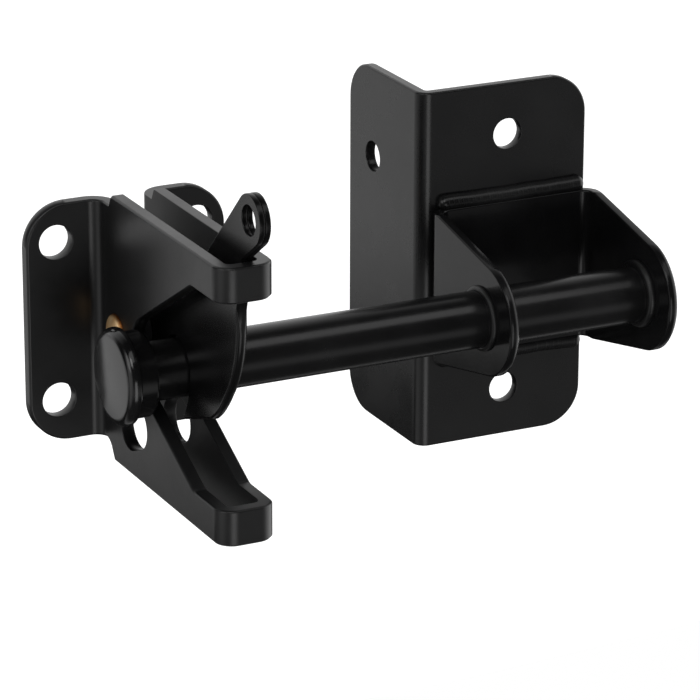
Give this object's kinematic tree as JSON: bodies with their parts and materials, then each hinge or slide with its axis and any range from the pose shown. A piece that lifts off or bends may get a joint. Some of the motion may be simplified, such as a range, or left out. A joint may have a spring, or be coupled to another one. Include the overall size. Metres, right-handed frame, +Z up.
{
  "type": "self-locking gate latch",
  "caption": "Folded steel gate latch whose gravity lever drops in front of a strike bar welded into an angle bracket, with padlock slot, cable eye and screw flanges.",
  "frame": {"origin": "centre of the latch's rectangle of screw holes, on the back plane of its flanges", "axes": "+X along the strike bar from the end disc to the striker bracket, +Y back into the gate and post, +Z up"},
  "size_m": [0.1376, 0.1033, 0.0873],
  "materials": {
    "black_coat": "satin black powder coat",
    "brass_rivet": "bright drawn brass"
  },
  "bodies": {
    "fixed_parts": {"latch_body": "black_coat", "pivot_rivet": "brass_rivet", "pivot_spacer": "black_coat", "strike_bar": "black_coat", "bar_disc": "black_coat", "disc_weld": "black_coat", "ear_weld_left": "black_coat", "ear_weld_right": "black_coat", "yoke": "black_coat", "yoke_weld_top": "black_coat", "yoke_weld_bottom": "black_coat", "angle_bracket": "black_coat"},
    "swing_lever": {"lever": "black_coat"}
  },
  "joints": [
    {"name": "lever_pivot", "type": "hinge", "parent": "fixed_parts", "child": "swing_lever", "pos_m": [0.00125, -0.0116, -0.0011], "axis": [-1, 0, 0], "range_deg": [0, 55]}
  ]
}
